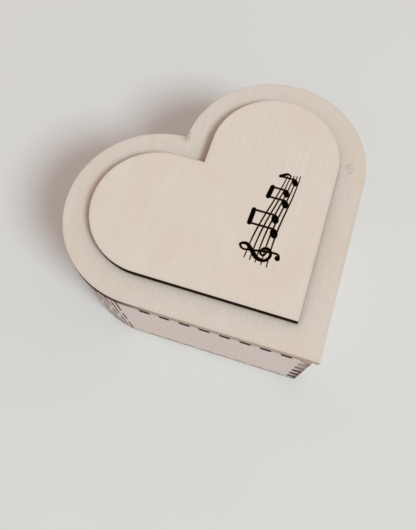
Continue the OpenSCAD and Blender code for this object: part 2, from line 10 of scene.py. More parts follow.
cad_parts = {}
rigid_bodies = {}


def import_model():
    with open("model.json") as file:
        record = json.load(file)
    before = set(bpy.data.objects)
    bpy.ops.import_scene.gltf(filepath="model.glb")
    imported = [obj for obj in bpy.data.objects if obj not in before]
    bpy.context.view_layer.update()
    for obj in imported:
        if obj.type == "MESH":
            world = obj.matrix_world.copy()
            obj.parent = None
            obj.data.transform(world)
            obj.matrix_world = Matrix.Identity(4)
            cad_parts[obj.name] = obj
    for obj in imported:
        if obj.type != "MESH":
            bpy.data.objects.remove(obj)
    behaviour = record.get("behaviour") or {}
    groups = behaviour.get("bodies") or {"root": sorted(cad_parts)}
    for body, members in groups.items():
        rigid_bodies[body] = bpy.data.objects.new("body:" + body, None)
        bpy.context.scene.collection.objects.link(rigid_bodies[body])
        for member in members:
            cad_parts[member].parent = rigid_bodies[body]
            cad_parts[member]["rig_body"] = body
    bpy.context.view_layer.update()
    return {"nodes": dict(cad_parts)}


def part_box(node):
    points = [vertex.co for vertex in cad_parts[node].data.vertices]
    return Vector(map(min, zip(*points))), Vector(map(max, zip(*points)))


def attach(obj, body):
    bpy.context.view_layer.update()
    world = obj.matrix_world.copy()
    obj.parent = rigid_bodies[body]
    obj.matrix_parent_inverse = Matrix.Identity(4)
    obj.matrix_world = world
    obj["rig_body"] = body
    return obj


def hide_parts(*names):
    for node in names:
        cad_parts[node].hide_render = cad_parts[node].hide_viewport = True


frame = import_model()

bl_info = {
    "name": "Wind Up Music Box",
    "version": (1, 0, 0),
    "blender": (4, 5, 0),
    "location": "View3D > Sidebar > Music Box",
    "description": "Builds the heart-shaped plywood music box, its lid and its comb movement",
    "category": "Object",
}

MM = 0.001
ROOT_2 = math.sqrt(2)
OPEN_SLIT_SHARE = 0.36  # part of the cut height that a slit open to the wall's edge takes
SOOT_REACH = 0.35 * MM  # how far soot spreads from a cut on the wall's face
MERGE = 2e-6  # corners of a CAD mesh nearer than this are one
SHARP = 32  # degrees an edge has to turn to stay crisp
NO_TURN = (0.0, 0.0, 0.0)


# ---------- sizes and colours ----------

def length(label, about, default):
    return bpy.props.FloatProperty(name=label, description=about, default=default * MM, subtype="DISTANCE",
                                   unit="LENGTH", min=0.0, precision=5)


def tint(label, about, default):
    return bpy.props.FloatVectorProperty(name=label, description=about, default=default, subtype="COLOR",
                                         size=3, min=0.0, max=1.0)


def point(label, about, default):
    return bpy.props.FloatVectorProperty(name=label, description=about, default=default,
                                         subtype="TRANSLATION", unit="LENGTH", size=3)


class BoxSizes(bpy.types.PropertyGroup):
    lobe_r: length("Lobe radius", "Radius of each lobe of the lid", 28.0)
    ply: length("Ply", "Thickness of every plywood sheet", 3.0)
    wall_h: length("Wall height", "Height of the walls", 36.0)
    overhang: length("Overhang", "Overhang of the lid past the walls", 0.8)
    panel_inset: length("Panel inset", "Distance from the lid's edge to the raised panel", 8.5)
    tab_w: length("Tab width", "Width of one tab", 3.0)
    tab_pitch: length("Tab pitch", "Distance between tab centres", 6.0)
    first_tab: length("First tab", "Distance from the tip corner to the first tab", 7.9)
    slit_w: length("Slit width", "Width of a living-hinge slit", 0.4)
    slit_bridge: length("Slit bridge", "Wood left between two slits of a column", 3.0)
    slit_margin: length("Slit margin", "Wood left above and below closed slits", 2.0)
    engrave_depth: length("Engraving depth", "Depth of the engraved lines", 0.45)
    tab_count: bpy.props.IntProperty(name="Tabs", description="Tabs on each straight side", default=8, min=1)
    slit_columns: bpy.props.IntProperty(name="Slit columns", description="Slit columns round a lobe",
                                        default=48, min=8)
    finger_rows: bpy.props.IntProperty(name="Finger rows", description="Fingers up the tip corner",
                                       default=12, min=2)


class BoxColours(bpy.types.PropertyGroup):
    veneer: tint("Veneer", "Sanded basswood on the lid and panel", (0.785, 0.695, 0.625))
    wall: tint("Wall veneer", "Basswood on the walls", (0.735, 0.635, 0.60))
    inner: tint("Inner veneer", "Unsanded basswood inside", (0.66, 0.55, 0.43))
    char: tint("Char", "Laser-burnt wood", (0.014, 0.007, 0.004))
    scorch: tint("Scorch", "Light brown laser scorch", (0.30, 0.18, 0.10))
    core: tint("Core", "Pale core of the plywood where it is cut clean", (0.54, 0.43, 0.36))
    brass: tint("Brass", "Brass of the gears, key and hinges", (0.83, 0.60, 0.27))
    zinc: tint("Zinc", "Die-cast base and housing", (0.62, 0.62, 0.61))
    steel: tint("Steel", "Comb, shafts and screws", (0.56, 0.57, 0.59))
    blued: tint("Blued steel", "Mainspring strip", (0.10, 0.14, 0.24))
    nylon: tint("Nylon", "Governor fan", (0.86, 0.85, 0.80))
    felt: tint("Felt", "Brake pad", (0.42, 0.03, 0.04))
    floor: tint("Floor", "Pale floor", (0.80, 0.795, 0.785))


class StageSettings(bpy.types.PropertyGroup):
    camera_at: point("Camera place", "Where the camera stands", (-0.03415, -0.04938, 0.1785))
    look_at: point("Look at", "Point the camera faces", (-0.01076, 0.00048, 0.020))
    key_at: point("Key place", "Where the key light stands", (0.60, -1.98, 2.16))
    camera_roll: bpy.props.FloatProperty(name="Roll", description="Turn of the camera about its own axis",
                                         default=math.radians(-2.44), subtype="ANGLE")
    lens: bpy.props.FloatProperty(name="Lens", description="Focal length", default=35.2,
                                  subtype="DISTANCE_CAMERA", unit="CAMERA")
    key_power: bpy.props.FloatProperty(name="Key power", description="Power of the soft key light",
                                       default=54.0, unit="POWER")
    key_tint: tint("Key colour", "Colour of the key light", (0.79, 0.96, 1.0))
    sky: tint("Sky", "Soft light from all sides", (0.528, 0.448, 0.412))


def sizes():
    return bpy.context.scene.music_box_sizes


def colours():
    return bpy.context.scene.music_box_colours


# ---------- node helpers ----------

def wire(tree, socket, value):
    if isinstance(value, bpy.types.NodeSocket):
        tree.links.new(value, socket)
    elif value is not None:
        socket.default_value = value


def add(tree, kind, inputs=(), out=0, **settings):
    """Adds a node, sets its settings and inputs (by index or name), and returns one output socket."""
    node = tree.nodes.new(kind)
    for key, value in settings.items():
        setattr(node, key, value)
    for key, value in (inputs.items() if isinstance(inputs, dict) else enumerate(inputs)):
        wire(tree, node.inputs[key], value)
    return node.outputs[out]


def calc(tree, operation, *values):
    return add(tree, "ShaderNodeMath", values, operation=operation)


def ramp(tree, value, low, high, to_low=0.0, to_high=1.0):
    return add(tree, "ShaderNodeMapRange", (value, low, high, to_low, to_high))


def axis(tree, place, number):
    return add(tree, "ShaderNodeSeparateXYZ", (place,), out=number)


def blend_colour(tree, factor, first, second):
    return add(tree, "ShaderNodeMix", {0: factor, 6: rgba(first), 7: rgba(second)}, out=2, data_type="RGBA")


def rgba(colour):
    if isinstance(colour, bpy.types.NodeSocket):
        return colour
    return (*colour[:3], 1.0)


def scaled(colour, factor):
    return tuple(min(1.0, c * factor) for c in colour[:3])


def noise(tree, place, grain, detail=3.0, turn=NO_TURN):
    """Noise whose features are grain metres across, in all directions or as (length, width, height)."""
    grain = grain if isinstance(grain, tuple) else (grain,) * 3
    mapped = add(tree, "ShaderNodeMapping", {"Vector": place, "Rotation": turn, "Scale": grain},
                 vector_type="TEXTURE")
    return add(tree, "ShaderNodeTexNoise", {"Vector": mapped, "Scale": 1.0, "Detail": detail,
                                            "Roughness": 0.55})


def new_material(name, roughness, metallic=0.0):
    material = bpy.data.materials.new(name)
    material.use_nodes = True
    tree = material.node_tree
    shader = tree.nodes["Principled BSDF"]
    shader.inputs["Roughness"].default_value = roughness
    shader.inputs["Metallic"].default_value = metallic
    return material, tree, shader


def place_of(tree, attribute=None):
    if attribute:
        return add(tree, "ShaderNodeAttribute", out=1, attribute_name=attribute)
    return add(tree, "ShaderNodeTexCoord", out=3)


def bump(tree, shader, height, distance, strength=0.6):
    wire(tree, shader.inputs["Normal"], add(tree, "ShaderNodeBump", {
        "Height": height, "Distance": distance, "Strength": strength}))


def paint(tree, shader, tone, specular=0.5):
    wire(tree, shader.inputs["Base Color"], tone)
    shader.inputs["Specular IOR Level"].default_value = specular


# ---------- materials ----------

def veneer_tone(tree, place, colour, turn):
    """Basswood face: soft grain streaks, short flecks, faint blotches and a few dark specks."""
    streak = noise(tree, place, (0.016, 0.0007, 0.0007), 4.0, turn)
    fleck = noise(tree, place, (0.0028, 0.0003, 0.0003), 2.0, turn)
    blotch = noise(tree, place, (0.022, 0.014, 0.022), 2.0, turn)
    speck = noise(tree, place, (0.0011, 0.0009, 0.0011), 1.0)
    tone = blend_colour(tree, ramp(tree, streak, 0.30, 0.72), scaled(colour, 1.035), scaled(colour, 0.955))
    warm = (colour[0] * 0.985, colour[1] * 0.955, colour[2] * 0.90)
    tone = blend_colour(tree, ramp(tree, blotch, 0.42, 0.72), tone, warm)
    tone = blend_colour(tree, ramp(tree, fleck, 0.64, 0.74, 0.0, 0.55), tone, scaled(colour, 0.62))
    tone = blend_colour(tree, ramp(tree, speck, 0.765, 0.80, 0.0, 0.30), tone, scaled(colour, 0.36))
    height = calc(tree, "ADD", calc(tree, "MULTIPLY", streak, 0.6), calc(tree, "MULTIPLY", fleck, -0.5))
    return tone, height


def veneer(name, colour, turn=(0.0, 0.0, math.pi / 4), attribute=None, marks=()):
    """Veneer face darkened from its soot-and-shade attribute (laser soot, and painted shade round the panel's
    foot on the lid), and small burns of a given reach round the marks.
    """
    material, tree, shader = new_material(name, 0.62)
    place = place_of(tree, attribute)
    tone, height = veneer_tone(tree, place, colour, turn)
    soot_and_shade_level = add(tree, "ShaderNodeAttribute", out=2, attribute_name="burn")
    cloud = noise(tree, place, 0.0035)
    soot_and_shade_level = calc(tree, "MULTIPLY", soot_and_shade_level, ramp(tree, cloud, 0.25, 0.75, 0.55, 1.25))
    dab = noise(tree, place, (0.0007, 0.0012, 0.0007))
    for centre, reach in marks:
        away = add(tree, "ShaderNodeVectorMath", (place, centre), out=1, operation="DISTANCE")
        near = ramp(tree, away, 0.0, reach, 1.0, 0.0)
        soot_and_shade_level = calc(tree, "ADD", soot_and_shade_level, calc(tree, "MULTIPLY", near, ramp(tree, dab, 0.5, 0.68, 0.0, 1.1)))
    # where the attribute is high the veneer turns to scorch, then char: laser soot, and on the lid round the
    # panel's foot painted shade
    tone = blend_colour(tree, ramp(tree, soot_and_shade_level, 0.0, 0.55, 0.0, 0.62), tone, colours().scorch)
    tone = blend_colour(tree, ramp(tree, soot_and_shade_level, 0.5, 1.1, 0.0, 0.95), tone, colours().char)
    paint(tree, shader, tone, 0.28)
    wire(tree, shader.inputs["Roughness"], ramp(tree, height, 0.0, 0.6, 0.56, 0.70))
    bump(tree, shader, height, 0.00006)
    return material


def striped(tree, place, start, dark, light):
    """Fine striations across a laser-cut side, uneven with smoke, and the noise that makes them."""
    stripe = noise(tree, place, (0.00035, 0.00035, 0.012))
    smoke = noise(tree, place, (0.004, 0.004, 0.0022))
    mix = ramp(tree, calc(tree, "MULTIPLY", stripe, smoke), start, 0.40)
    return blend_colour(tree, mix, dark, light), stripe


def cut_wood(name, dark, light, attribute=None, bottom=0.0, smoky=None, shine=0.12):
    """Laser-cut side of a sheet, with darker glue lines, or paler up the tip corner on a flat attribute.
    smoky gives the two x places between which the side turns from sooty to light."""
    material, tree, shader = new_material(name, 0.72)
    place = place_of(tree, attribute)
    ply = sizes().ply
    tone, stripe = striped(tree, place, 0.14, dark, light)
    if not attribute:
        height = axis(tree, place, 2)
        glue_at = 0.17  # from the middle of the sheet, as a part of its thickness
        layer = calc(tree, "FRACT", calc(tree, "DIVIDE", calc(tree, "SUBTRACT", height, bottom - ply), ply))
        from_middle = calc(tree, "ABSOLUTE", calc(tree, "SUBTRACT", layer, 0.5))
        glue = calc(tree, "ABSOLUTE", calc(tree, "SUBTRACT", from_middle, glue_at))
        tone = blend_colour(tree, ramp(tree, glue, 0.0, 0.045, 0.75, 0.0), tone, scaled(dark, 0.6))
    else:
        at_tip = calc(tree, "LESS_THAN", axis(tree, place, 0), 2 * ply)
        worn = calc(tree, "MULTIPLY", at_tip, ramp(tree, axis(tree, place, 2), 5 * ply, 11 * ply, 0.0, 0.85))
        tone = blend_colour(tree, worn, tone, colours().core)
    if smoky:
        sooty = calc(tree, "MULTIPLY", ramp(tree, axis(tree, place, 0), smoky[0], smoky[1], 0.93, 0.0),
                     ramp(tree, axis(tree, place, 1), 2 * ply, 8 * ply, 1.0, 0.0))
        tone = blend_colour(tree, sooty, tone, colours().char)
    paint(tree, shader, tone, shine)
    bump(tree, shader, stripe, 0.00008)
    return material


def plate_wood(name, colour, dark, light, bottom):
    """One finish for a flat sheet: veneer where it faces up or down, laser-cut wood round its sides, dark low
    down with char and painted shade.
    """
    material, tree, shader = new_material(name, 0.66)
    place = place_of(tree)
    tone, height = veneer_tone(tree, place, colour, NO_TURN)
    upright = calc(tree, "ABSOLUTE", axis(tree, add(tree, "ShaderNodeTexCoord", out=1), 2))
    side, _ = striped(tree, place, 0.12, dark, blend_colour(tree, 0.12, dark, light))
    # the lower half of each cut side stays dark: char, with painted shade of the slot gap under the tab; the
    # upper half turns light
    fade = ramp(tree, axis(tree, place, 2), bottom + 0.5 * sizes().ply, bottom + sizes().ply, 0.0, 0.7)
    side = blend_colour(tree, fade, side, light)
    paint(tree, shader, blend_colour(tree, ramp(tree, upright, 0.3, 0.7), side, tone), 0.08)
    bump(tree, shader, height, 0.00005)
    return material


def metal(name, colour, roughness, grain, tarnish, depth=0.000006):
    """Metal with fine tool marks, patchy tarnish and uneven gloss."""
    material, tree, shader = new_material(name, roughness, 1.0)
    place = place_of(tree)
    marks = noise(tree, place, grain, 4.0)
    patch = noise(tree, place, 0.004)
    tone = blend_colour(tree, ramp(tree, marks, 0.3, 0.7), scaled(colour, 1.06), scaled(colour, 0.9))
    tone = blend_colour(tree, ramp(tree, patch, 0.48, 0.78, 0.0, tarnish), tone, scaled(colour, 0.45))
    paint(tree, shader, tone)
    wire(tree, shader.inputs["Roughness"], ramp(tree, calc(tree, "ADD", marks, patch), 0.7, 1.3,
                                                max(0.05, roughness - 0.07), roughness + 0.12))
    bump(tree, shader, marks, depth, 0.5)
    return material


def moulded(name, colour):
    """Moulded plastic with a faint orange-peel skin."""
    material, tree, shader = new_material(name, 0.42)
    place = place_of(tree)
    orange_peel = noise(tree, place, 0.0005, 2.0)
    tone = blend_colour(tree, ramp(tree, orange_peel, 0.3, 0.7), colour, scaled(colour, 0.93))
    paint(tree, shader, tone)
    bump(tree, shader, orange_peel, 0.00002)
    return material


def felt_cloth(name, colour):
    """Matted felt fibres."""
    material, tree, shader = new_material(name, 0.95)
    place = place_of(tree)
    fibre = noise(tree, place, (0.0005, 0.00006, 0.00006), 4.0, (0.3, 0.2, 0.7))
    tone = blend_colour(tree, ramp(tree, fibre, 0.3, 0.7), scaled(colour, 1.5), scaled(colour, 0.6))
    paint(tree, shader, tone)
    shader.inputs["Sheen Weight"].default_value = 0.5
    bump(tree, shader, fibre, 0.00005)
    return material


# ---------- shapes ----------

def tip_point():
    """Tip corner of the lid outline and the sideways places of the lid and the walls, from the frame."""
    low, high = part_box("lid_plate")
    lid_x = (low.x + high.x) / 2
    walls_low, walls_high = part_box("left_wall")[0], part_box("right_wall")[1]
    box_x = (walls_low.x + walls_high.x) / 2
    return low.y, lid_x, box_x


def from_side(p, q, z, x0, y0, side=1):
    """The point p along and q across the right straight side (-1: the left one) from the tip at x0, y0."""
    return Vector((x0 + side * (p - q) / ROOT_2, y0 + (p + q) / ROOT_2, z))


def heart_loop(inset, x0, y0, z):
    """Heart outline inset from the lid outline, anticlockwise from the tip, always with the same count."""
    r = sizes().lobe_r
    along, around = 24, 48
    half = [(inset + (2 * r - inset) * i / along, inset) for i in range(along)]
    for i in range(around + 1):
        a = math.radians(-90 + 180 * i / around)
        half.append((2 * r + (r - inset) * math.cos(a), r + (r - inset) * math.sin(a)))
    cleft = (2 * r - inset, 2 * r - inset)
    right = [from_side(p, q, z, x0, y0) for p, q in half]
    left = [from_side(p, q, z, x0, y0, -1) for p, q in reversed(half[1:])]
    return right + [from_side(*cleft, z, x0, y0)] + left


def shade(mesh, angle=SHARP):
    """Smooth faces, with edges that turn more than the angle left crisp."""
    mesh.shade_smooth()
    mesh.set_sharp_from_angle(angle=math.radians(angle))


def object_from(bm, name, materials, smooth=True):
    mesh = bpy.data.meshes.new(name)
    bm.to_mesh(mesh)
    bm.free()
    for material in materials:
        mesh.materials.append(material)
    if smooth:
        shade(mesh)
    piece = bpy.data.objects.new(name, mesh)
    bpy.context.scene.collection.objects.link(piece)
    return piece


def bake(piece):
    """Applies the piece's modifiers, and leaves a plain mesh of the same name."""
    depsgraph = bpy.context.evaluated_depsgraph_get()
    mesh = bpy.data.meshes.new_from_object(piece.evaluated_get(depsgraph), preserve_all_data_layers=True,
                                           depsgraph=depsgraph)
    piece.modifiers.clear()
    old = piece.data
    piece.data = mesh
    if old.users == 0:
        bpy.data.meshes.remove(old)
    mesh.name = piece.name


def cut_away(piece, tool, overlapping=False):
    """Takes the tool out of the piece; the new faces keep the tool's material."""
    cut = piece.modifiers.new(tool.name, "BOOLEAN")
    cut.operation = "DIFFERENCE"
    cut.solver = "EXACT"
    cut.use_self = overlapping
    cut.material_mode = "TRANSFER"
    cut.object = tool
    bake(piece)
    bpy.data.objects.remove(tool)


def add_block(bm, centre, size):
    bmesh.ops.create_cube(bm, size=1.0, matrix=Matrix.Translation(centre) @ Matrix.Diagonal((*size, 1.0)))


def heart_sheet(name, rings, materials, sides):
    """Closed sheet from rings (inset, height, soot and painted shade), first the underside; sides gives which
    bands are cut.
    """
    y0, x0, _ = tip_point()
    bm = bmesh.new()
    burn = bm.verts.layers.float.new("burn")
    loops = []
    for inset, z, soot_and_shade_level in rings:
        loops.append([bm.verts.new(co) for co in heart_loop(inset * MM, x0, y0, z)])
        for v in loops[-1]:
            v[burn] = soot_and_shade_level
    for k, (lower, upper) in enumerate(zip(loops, loops[1:])):
        for i in range(len(lower)):
            j = (i + 1) % len(lower)
            face = bm.faces.new((lower[i], lower[j], upper[j], upper[i]))
            face.material_index = 1 if sides[0] <= k < sides[1] else 0
    bm.faces.new(list(reversed(loops[0])))
    bm.faces.new(loops[-1])
    bmesh.ops.remove_doubles(bm, verts=bm.verts, dist=1e-7)
    bmesh.ops.recalc_face_normals(bm, faces=bm.faces)
    return object_from(bm, name, materials)


def finish(piece, body, node):
    """Puts the finished piece on its body, with its finish, in place of a CAD node."""
    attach(piece, body)
    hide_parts(node)


def dress(node, material):
    """Gives a CAD node its finish."""
    for place in frame["nodes"][node].material_slots:
        place.material = material


def merged(node):
    """A copy of a CAD node's mesh with its corners joined."""
    bm = bmesh.new()
    bm.from_mesh(frame["nodes"][node].data)
    bmesh.ops.remove_doubles(bm, verts=bm.verts, dist=MERGE)
    return bm


def soften(node, material, width, segments=2):
    """A copy of a CAD node with its edges rounded, in place of the node."""
    bm = merged(node)
    bmesh.ops.dissolve_limit(bm, angle_limit=math.radians(0.6), verts=bm.verts, edges=bm.edges)
    for face in bm.faces:
        face.material_index = 0
    piece = object_from(bm, node + "_finished", [material])
    rounding = piece.modifiers.new("Rounded edges", "BEVEL")
    rounding.width = width * MM
    rounding.segments = segments
    rounding.limit_method = "ANGLE"
    rounding.angle_limit = math.radians(SHARP)
    bake(piece)
    shade(piece.data, 38)
    finish(piece, frame["nodes"][node]["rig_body"], node)


# ---------- geometry node trees ----------

def new_tree(name, inputs):
    """A geometry tree with named inputs; returns the tree, its input sockets and its output node."""
    tree = bpy.data.node_groups.new(name, "GeometryNodeTree")
    tree.interface.new_socket("Geometry", in_out="INPUT", socket_type="NodeSocketGeometry")
    for label, kind in inputs:
        tree.interface.new_socket(label, in_out="INPUT", socket_type=kind)
    tree.interface.new_socket("Geometry", in_out="OUTPUT", socket_type="NodeSocketGeometry")
    group_in = tree.nodes.new("NodeGroupInput")
    group_out = tree.nodes.new("NodeGroupOutput")
    return tree, group_in.outputs, group_out


def run_tree(piece, tree, values):
    """Runs the tree on the piece with its named inputs set, and leaves a plain mesh."""
    modifier = piece.modifiers.new(tree.name, "NODES")
    modifier.node_group = tree
    for item in tree.interface.items_tree:
        if item.item_type == "SOCKET" and item.in_out == "INPUT" and item.name in values:
            modifier[item.identifier] = values[item.name]
    bake(piece)


def wall_tree():
    """Cuts the slits, tab slots and fingers out of a flat wall, then bends it round the lobe."""
    floats = ("Lobe radius", "Wall radius", "Wall height", "Ply", "Overhang", "Slit width", "Slit bridge",
              "Slit margin", "Tab width", "Tab pitch", "First tab")
    ints = ("Slit columns", "Tabs", "Finger rows", "Side")
    tree, given, group_out = new_tree("Living hinge wall", [
        *((n, "NodeSocketFloat") for n in floats), *((n, "NodeSocketInt") for n in ints),
        ("Veneer", "NodeSocketMaterial")])
    (lobe_r, wall_r, wall_h, ply, overhang, slit_w, bridge, margin, tab_w, pitch, first_tab,
     columns, tabs, rows, side) = (given[n] for n in floats + ints)

    def maths(operation):
        return lambda *values: calc(tree, operation, *values)

    plus, minus, times, over = map(maths, ("ADD", "SUBTRACT", "MULTIPLY", "DIVIDE"))
    below, above, lesser, greater = map(maths, ("LESS_THAN", "GREATER_THAN", "MINIMUM", "MAXIMUM"))
    size, floor, rounded, modulo = map(maths, ("ABSOLUTE", "FLOOR", "ROUND", "MODULO"))

    place = add(tree, "GeometryNodeInputPosition")
    u, z = axis(tree, place, 0), axis(tree, place, 2)
    straight = times(lobe_r, 2.0)
    turned = over(minus(u, straight), wall_r)
    half_h = times(wall_h, 0.5)
    middle = size(minus(z, half_h))
    # slits: odd columns have one in the middle and one open to each edge, even columns two closed ones
    step = over(math.pi, columns)
    column = over(turned, step)
    number = floor(column)
    off_centre = size(minus(minus(column, number), 0.5))
    in_slit = below(times(off_centre, times(step, wall_r)), times(slit_w, 0.5))
    in_slit = times(in_slit, above(number, 0.5))
    in_slit = times(in_slit, below(number, minus(columns, 1.5)))
    odd = above(modulo(number, 2.0), 0.5)
    open_len = times(minus(wall_h, times(bridge, 2.0)), OPEN_SLIT_SHARE)
    inner_end = minus(minus(half_h, open_len), bridge)
    open_cut = greater(below(middle, inner_end), above(middle, minus(half_h, open_len)))
    closed_cut = times(above(middle, times(bridge, 0.5)), below(middle, minus(half_h, margin)))
    cut = times(in_slit, plus(times(odd, open_cut), times(minus(1.0, odd), closed_cut)))
    # tab slots along the bottom and the top
    tab = over(minus(u, first_tab), pitch)
    nearest = rounded(tab)
    in_tab = below(times(size(minus(tab, nearest)), pitch), times(tab_w, 0.5))
    in_tab = times(in_tab, times(above(nearest, -0.5), below(nearest, minus(tabs, 0.5))))
    in_tab = times(in_tab, above(middle, minus(half_h, ply)))
    # fingers at the tip corner
    row = floor(over(times(z, rows), wall_h))
    gap = above(modulo(plus(row, side), 2.0), 0.5)
    in_finger = times(gap, below(u, plus(overhang, ply)))
    gone = above(plus(plus(cut, in_tab), in_finger), 0.5)
    kept = add(tree, "GeometryNodeDeleteGeometry", {"Geometry": given["Geometry"], "Selection": gone},
               domain="FACE")
    kept = add(tree, "GeometryNodeStoreNamedAttribute", {"Geometry": kept, "Name": "flat", "Value": place},
               data_type="FLOAT_VECTOR", domain="POINT")
    # soot along every cut edge
    lone = add(tree, "FunctionNodeCompare", {"A": add(tree, "GeometryNodeInputMeshEdgeNeighbors"), "B": 1.0},
               data_type="FLOAT", operation="EQUAL")
    kept = add(tree, "GeometryNodeStoreNamedAttribute", {"Geometry": kept, "Name": "burn",
                                                         "Value": times(lone, 1.0)},
               data_type="FLOAT", domain="POINT")
    # bend
    bend = lesser(greater(turned, 0.0), math.pi)
    past_lobe = minus(minus(u, straight), times(wall_r, math.pi))
    forward = times(wall_r, maths("SINE")(bend))
    along = minus(plus(lesser(u, straight), forward), greater(past_lobe, 0.0))
    across = minus(lobe_r, times(wall_r, maths("COSINE")(bend)))
    bent = add(tree, "ShaderNodeCombineXYZ", (along, across, z))
    kept = add(tree, "GeometryNodeSetPosition", {"Geometry": kept, "Position": bent})
    kept = add(tree, "GeometryNodeRealizeInstances", {"Geometry": kept})
    kept = add(tree, "GeometryNodeSetMaterial", {"Geometry": kept, "Material": given["Veneer"]})
    tree.links.new(kept, group_out.inputs[0])
    return tree


def screw_tree():
    """Puts one screw on every point, each with its slot turned another way."""
    tree, given, group_out = new_tree("Slotted screws", [
        ("Screw", "NodeSocketObject"), ("Size", "NodeSocketFloat"), ("Seed", "NodeSocketInt"),
        ("Plating", "NodeSocketMaterial")])
    shape = add(tree, "GeometryNodeObjectInfo", {"Object": given["Screw"]}, out="Geometry")
    turn = add(tree, "FunctionNodeRandomValue", {"Min": NO_TURN, "Max": (0.0, 0.0, 2 * math.pi),
                                                 "Seed": given["Seed"]}, data_type="FLOAT_VECTOR")
    placed = add(tree, "GeometryNodeInstanceOnPoints", {"Points": given["Geometry"], "Instance": shape,
                                                        "Rotation": turn, "Scale": given["Size"]})
    placed = add(tree, "GeometryNodeRealizeInstances", {"Geometry": placed})
    placed = add(tree, "GeometryNodeSetMaterial", {"Geometry": placed, "Material": given["Plating"]})
    tree.links.new(placed, group_out.inputs[0])
    return tree


# ---------- stage ----------

class StageOperator(bpy.types.Operator):
    """Pale floor, soft light and the camera"""
    bl_idname = "music_box.stage"
    bl_label = "Stage"

    def execute(self, context):
        scene = context.scene
        stage = scene.music_box_stage
        scene.view_settings.view_transform = "Standard"
        bm = bmesh.new()
        bmesh.ops.create_grid(bm, x_segments=2, y_segments=2, size=8.0)
        material, tree, shader = new_material("floor_paint", 0.8)
        cloud = noise(tree, place_of(tree), 0.12, 2.0)
        tone = blend_colour(tree, ramp(tree, cloud, 0.3, 0.7), scaled(colours().floor, 1.01),
                            scaled(colours().floor, 0.98))
        paint(tree, shader, tone, 0.2)
        floor = object_from(bm, "floor", [material])

        world = bpy.data.worlds.new("Soft room")
        scene.world = world
        world.use_nodes = True
        world.node_tree.nodes["Background"].inputs["Color"].default_value = rgba(stage.sky)
        key = bpy.data.lights.new("Key", "AREA")
        key.shape = "DISK"
        key.size = 1.0
        key.energy = stage.key_power
        key.color = stage.key_tint
        lamp = bpy.data.objects.new("Key", key)
        lamp.location = Vector(stage.key_at)
        lamp.rotation_euler = (-lamp.location).to_track_quat("-Z", "Y").to_euler()
        scene.collection.objects.link(lamp)

        data = bpy.data.cameras.new("Camera")
        data.lens = stage.lens
        data.sensor_width = 36.0
        data.clip_start = 0.005
        camera = bpy.data.objects.new("Camera", data)
        look = Vector(stage.look_at) - Vector(stage.camera_at)
        turn = look.to_track_quat("-Z", "Y") @ Quaternion((0, 0, 1), stage.camera_roll)
        camera.matrix_world = Matrix.Translation(Vector(stage.camera_at)) @ turn.to_matrix().to_4x4()
        scene.collection.objects.link(camera)
        scene.camera = camera
        return {"FINISHED"}


# ---------- box ----------

def flat_wall(name):
    """Flat grid whose lines fall on every slit, tab and finger edge of the wall."""
    s = sizes()
    wall_r = s.lobe_r - s.overhang
    straight = 2 * s.lobe_r
    lobe_end = straight + math.pi * wall_r
    us = {s.overhang, s.overhang + s.ply, s.overhang + s.ply + SOOT_REACH, straight, lobe_end,
          lobe_end + s.overhang}
    for k in range(s.tab_count):
        centre = s.first_tab + k * s.tab_pitch
        for reach in (s.tab_w / 2, s.tab_w / 2 + SOOT_REACH):
            us |= {centre - reach, centre + reach}
    step = math.pi * wall_r / s.slit_columns
    for k in range(s.slit_columns):
        us.add(straight + k * step)
        if 0 < k < s.slit_columns - 1:
            centre = straight + (k + 0.5) * step
            for reach in (s.slit_w / 2, s.slit_w / 2 + SOOT_REACH):
                us |= {centre - reach, centre + reach}
    open_len = (s.wall_h - 2 * s.slit_bridge) * OPEN_SLIT_SHARE
    zs = {i * s.wall_h / s.finger_rows for i in range(s.finger_rows + 1)}
    for z in (open_len, open_len + s.slit_bridge, s.slit_margin, (s.wall_h - s.slit_bridge) / 2, s.ply,
              s.ply + SOOT_REACH):
        zs |= {z, s.wall_h - z}
    us, zs = (sorted({round(v, 8) for v in values}) for values in (us, zs))
    bm = bmesh.new()
    grid = [[bm.verts.new((u, 0, z)) for z in zs] for u in us]
    for i in range(len(us) - 1):
        for j in range(len(zs) - 1):
            bm.faces.new((grid[i][j], grid[i + 1][j], grid[i + 1][j + 1], grid[i][j + 1]))
    return object_from(bm, name, [], smooth=False)


